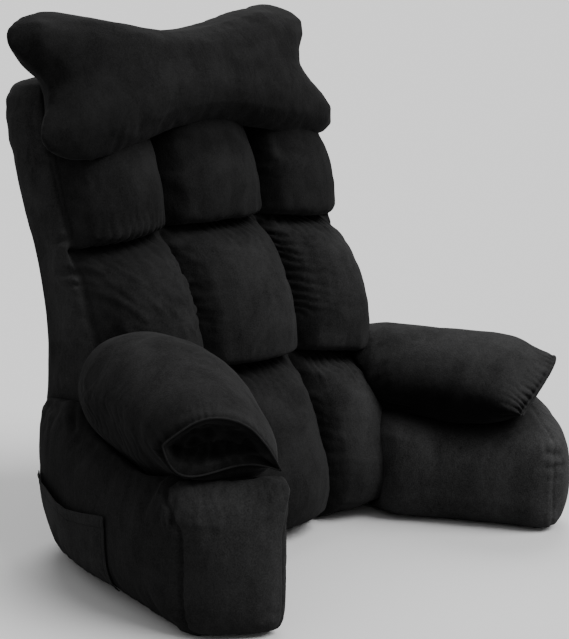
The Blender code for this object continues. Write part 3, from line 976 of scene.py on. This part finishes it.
def make_welt(side, rim, out):
    """The corded welt round a roll's end, a covered cord."""
    path = bpy.data.curves.new("welt_" + side, "CURVE")
    path.dimensions = "3D"
    path.bevel_depth = WELT_RADIUS
    path.bevel_resolution = 3
    spline = path.splines.new("POLY")
    line = dense(rim, closed=True, step=0.003)[0][:-1]
    spline.points.add(len(line) - 1)
    for point, spot in zip(spline.points, line):
        point.co = (*(spot + out * WELT_PROUD), 1)
    spline.use_cyclic_u = True
    piece = bpy.data.objects.new("welt_" + side, path)
    bpy.context.scene.collection.objects.link(piece)
    only(piece)
    bpy.ops.object.convert(target="MESH")
    piece = bpy.context.active_object
    spots = places(piece)
    push(piece, spots, 0.00030 * unrest(spots, 0.006, 3.0))
    finish_piece(piece, "roll_welt_" + side, WELT)


# ----------------------------------------------------------------- head pillow
HEAD_LOW_CORNER = (0.245, 0.06, 0.605)   # at the right, which hangs lower


def make_head():
    """The head pillow."""
    piece = padding("head_pillow", "head_padding", 0.006, ["back_cushion"], spare=0.006)
    spots = places(piece)
    reach = np.linalg.norm((spots - np.array(HEAD_LOW_CORNER)) * (1, 0.3, 1), axis=1)
    spots += np.array((0.006, 0.0, -0.017)) * bell(reach, 0.105)[:, None]
    put(piece, spots)
    # the left end is rounder
    end = fade(spots[:, 0], -0.195, -0.265)
    relax(piece, 16)
    spots += (places(piece) - spots + 0.003 * outwards(piece)) * end[:, None]
    put(piece, spots)
    spots = places(piece)
    push(piece, spots, 0.0016 * unrest(spots, 0.07, 8.0) + 0.0006 * unrest(spots, 0.025, 2.5))
    nap_and_shade = 0.86 - 0.22 * fade(spots[:, 0], -0.13, -0.24)
    finish_piece(piece, "head_pillow", PLUSH, nap_and_shade)


# ---------------------------------------------------------------------- pocket
POCKET_ALONG = (0.095, -0.137)           # y of its rear and front edges
POCKET_TUCK = 0.044                      # how far its rear edge runs in at the foot
POCKET_TOP = (
    # share from the rear to the front edge, height of the mouth
    (0.00, 0.121),
    (0.10, 0.122),
    (0.20, 0.119),
    (0.28, 0.115),
    (0.44, 0.106),
    (0.57, 0.105),
    (0.71, 0.109),
    (1.00, 0.120),
)
POCKET_FOOT = 0.012
POCKET_CLOTH = 0.0016
POCKET_GAPE = 0.0055     # how far its mouth stands open
HEM = 0.0155             # the mouth's turned hem, with its stitch line at its lower edge
SIDE_STITCH = 0.0075     # from the front edge
STITCH = 0.0036          # length of one stitch


def make_pocket(arm):
    """The pocket's cloth, laid over the stuffed arm, with a turned hem along its gaping mouth."""
    rear, front = POCKET_ALONG
    bpy.ops.object.select_all(action="DESELECT")
    bpy.ops.mesh.primitive_grid_add(x_subdivisions=150, y_subdivisions=84, size=2)
    piece = bpy.context.active_object
    piece.name = "pocket_cloth"
    piece.data.name = "pocket_cloth"
    spots = places(piece)
    along, up = (spots[:, 0] + 1) / 2, (spots[:, 1] + 1) / 2
    tucked = rear - POCKET_TUCK * (1 - up)**2
    top = np.interp(along, *np.array(POCKET_TOP).T)
    y = tucked + (front - tucked) * along
    z = POCKET_FOOT + (top - POCKET_FOOT) * up
    below = (top - POCKET_FOOT) * (1 - up)
    inward = y - front

    # how far the cloth stands off the arm: its mouth, waves, hem and stitch lines
    gape = POCKET_GAPE * np.clip(1 - np.abs(2 * along - 0.8)**2.0, 0, 1) * up**2.5
    wave = unrest(np.stack([y, 0 * y, z], 1), 0.035, 3.0)
    proud = 0.0014 + gape + 0.0010 * (1 + wave) * np.clip(along * (1 - along) * 8, 0, 1) * up
    proud += 0.0009 * fade(below, HEM, HEM - 0.0012) + 0.0012 * bell(below, 0.002)
    stitches = 1 - 0.4 * np.abs(np.sin(math.pi * y / STITCH))
    proud -= 0.0008 * bell(below - HEM - 0.0006, 0.0009) * stitches
    proud += 0.0007 * fade(inward, SIDE_STITCH, SIDE_STITCH - 0.0010)
    proud -= 0.0008 * bell(inward - SIDE_STITCH, 0.0009)
    proud *= 0.3 + 0.7 * fade(along, 0.0, 0.10)
    tree = surface(arm)
    for i in range(len(spots)):
        hit, normal, _, _ = tree.ray_cast(Vector((-0.6, y[i], z[i])), Vector((1, 0, 0)))
        if hit is None:
            hit, normal, _, _ = tree.find_nearest(Vector((-0.30, y[i], z[i])))
        out = Vector((normal.x, normal.y, 0)).normalized()
        spots[i] = hit + out * proud[i]
    put(piece, spots)
    relax(piece, 2, 0.3)
    solid = piece.modifiers.new("cloth", "SOLIDIFY")
    solid.thickness = POCKET_CLOTH
    solid.offset = 1.0
    apply(piece, solid)
    # painted light: the pocket lighter all over, with painted highlights at the mouth's edge, on
    # the hem and at the front edge, and painted shade in the hem's stitch line
    nap_and_shade = (1.90 + 0.25 * bell(below, 0.003) + 0.15 * fade(below, HEM, HEM - 0.001)
           - 0.4 * bell(below - HEM - 0.0006, 0.0012) + 0.3 * bell(inward, 0.002))
    both_sides = np.resize(nap_and_shade, len(piece.data.vertices))
    finish_piece(piece, "side_pocket", PLUSH, both_sides)


make_back()
for side in ("left", "right"):
    arm = make_arm(side)
    make_roll(side)
    if side == "left":
        make_pocket(arm)
make_head()

# ----------------------------------------------------------------------- stage
SEEN_FLOOR = (0.94, 0.94, 0.94, 1)
BOUNCED_FLOOR = (0.30, 0.30, 0.30, 1)    # darker for its own light, so the cloth stays black
WHITE = (1, 1, 1, 1)

bpy.ops.object.select_all(action="DESELECT")
bpy.ops.mesh.primitive_plane_add(size=300, location=(0, 0, -0.001))
floor = bpy.context.active_object
floor.name = "floor"
bpy.ops.object.transform_apply()
pale = Finish("pale floor")
pale.set(Roughness=0.9, Specular_IOR_Level=0.1)
seen = pale.node("LightPath")
pale.feed(pale.shader.inputs["Base Color"], pale.mixed(seen, BOUNCED_FLOOR, SEEN_FLOOR))
floor.data.materials.append(pale.material)

world = bpy.data.worlds.new("studio")
bpy.context.scene.world = world
world.use_nodes = True
air = world.node_tree
fill = air.nodes["Background"]
fill.inputs["Color"].default_value = WHITE
fill.inputs["Strength"].default_value = 0.36
backdrop = air.nodes.new("ShaderNodeBackground")
backdrop.inputs["Color"].default_value = WHITE
backdrop.inputs["Strength"].default_value = 1.3
rays = air.nodes.new("ShaderNodeLightPath")
blend = air.nodes.new("ShaderNodeMixShader")
air.links.new(rays.outputs["Is Camera Ray"], blend.inputs[0])
air.links.new(fill.outputs[0], blend.inputs[1])
air.links.new(backdrop.outputs[0], blend.inputs[2])
air.links.new(blend.outputs[0], air.nodes["World Output"].inputs["Surface"])


def lamp(name, aim, strength, spread):
    """A wide, even light that comes from the given direction."""
    bpy.ops.object.select_all(action="DESELECT")
    bpy.ops.object.light_add(type="SUN", location=Vector(aim) * 3)
    light = bpy.context.active_object
    light.name = name
    light.data.energy = strength
    light.data.angle = math.radians(spread)
    light.rotation_euler = (-Vector(aim)).to_track_quat("-Z", "Y").to_euler()


lamp("key light", (0.35, -0.75, 0.95), 2.5, 38)
lamp("rear light", (0.55, 0.50, 0.80), 1.4, 38)

CAMERA_TURN = math.radians(46.5)
CAMERA_RISE = math.radians(11.0)
CAMERA_DISTANCE = 2.54
CAMERA_LENS = 101.4      # mm, and the width of its sensor
CAMERA_SENSOR = 36
CAMERA_TARGET = Vector((-0.030, -0.140, 0.334))
back = Vector((-math.sin(CAMERA_TURN) * math.cos(CAMERA_RISE),
               -math.cos(CAMERA_TURN) * math.cos(CAMERA_RISE), math.sin(CAMERA_RISE)))
bpy.ops.object.select_all(action="DESELECT")
bpy.ops.object.camera_add(location=CAMERA_TARGET + back * CAMERA_DISTANCE)
camera = bpy.context.active_object
camera.rotation_euler = (-back).to_track_quat("-Z", "Y").to_euler()
camera.data.sensor_width = CAMERA_SENSOR
camera.data.lens = CAMERA_LENS
bpy.context.scene.camera = camera
